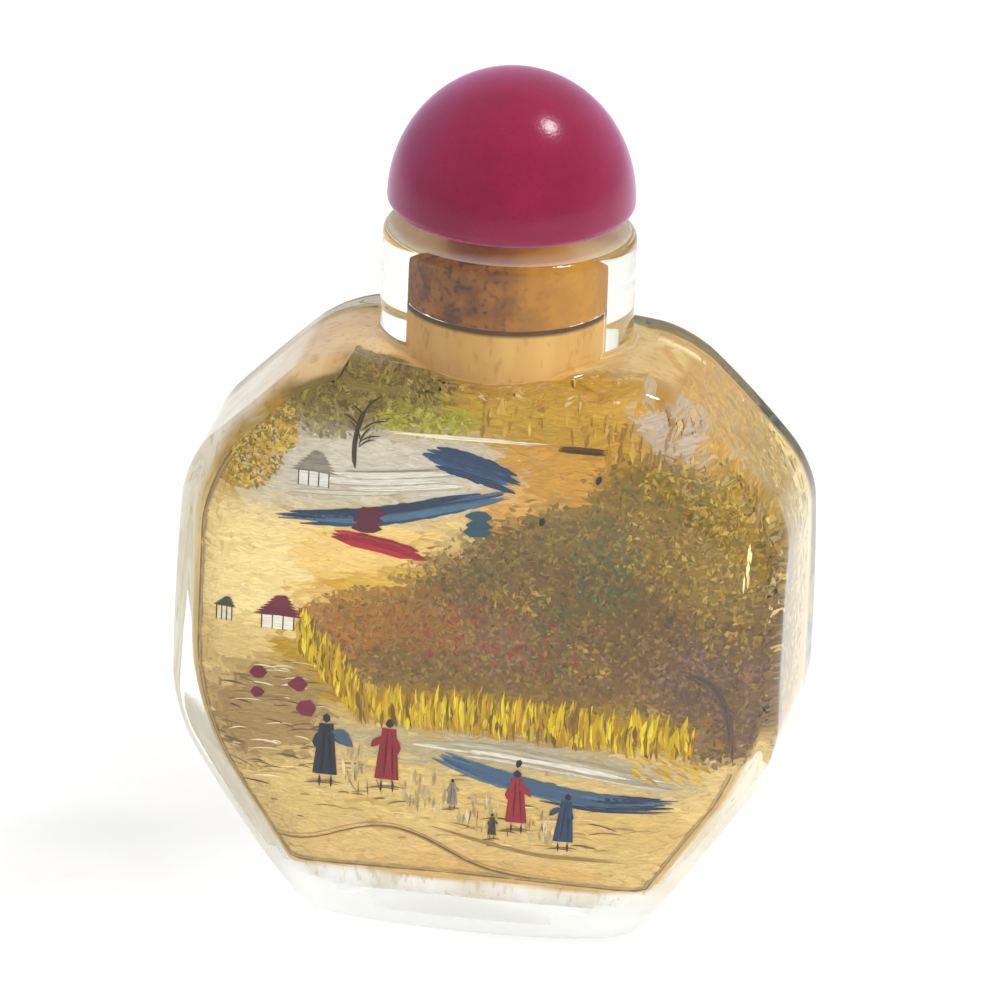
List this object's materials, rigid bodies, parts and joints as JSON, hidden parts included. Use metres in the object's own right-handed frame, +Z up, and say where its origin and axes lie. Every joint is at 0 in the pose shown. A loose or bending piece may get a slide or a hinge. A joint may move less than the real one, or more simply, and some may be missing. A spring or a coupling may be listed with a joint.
{
  "type": "inside-painted glass bottle",
  "caption": "Small flattened octagonal glass bottle, hollow and painted on the inside of its walls, with a thick round neck closed by a domed stopper on a cork.",
  "frame": {"origin": "centre of the foot's flat underside, at the bottom centre of the whole part's box", "axes": "+Z up along the neck, -Y out of the front face, X across the body"},
  "size_m": [0.052, 0.024, 0.0741],
  "materials": {
    "bottle_glass": "clear polished glass, painted with a landscape on the inside of the hollow",
    "red_dome": "polished ruby-red cabochon, slightly translucent",
    "cork": "amber-brown cork with dark specks"
  },
  "bodies": {
    "root": {"bottle": "bottle_glass", "stopper_dome": "red_dome", "stopper_cork": "cork"}
  },
  "joints": []
}
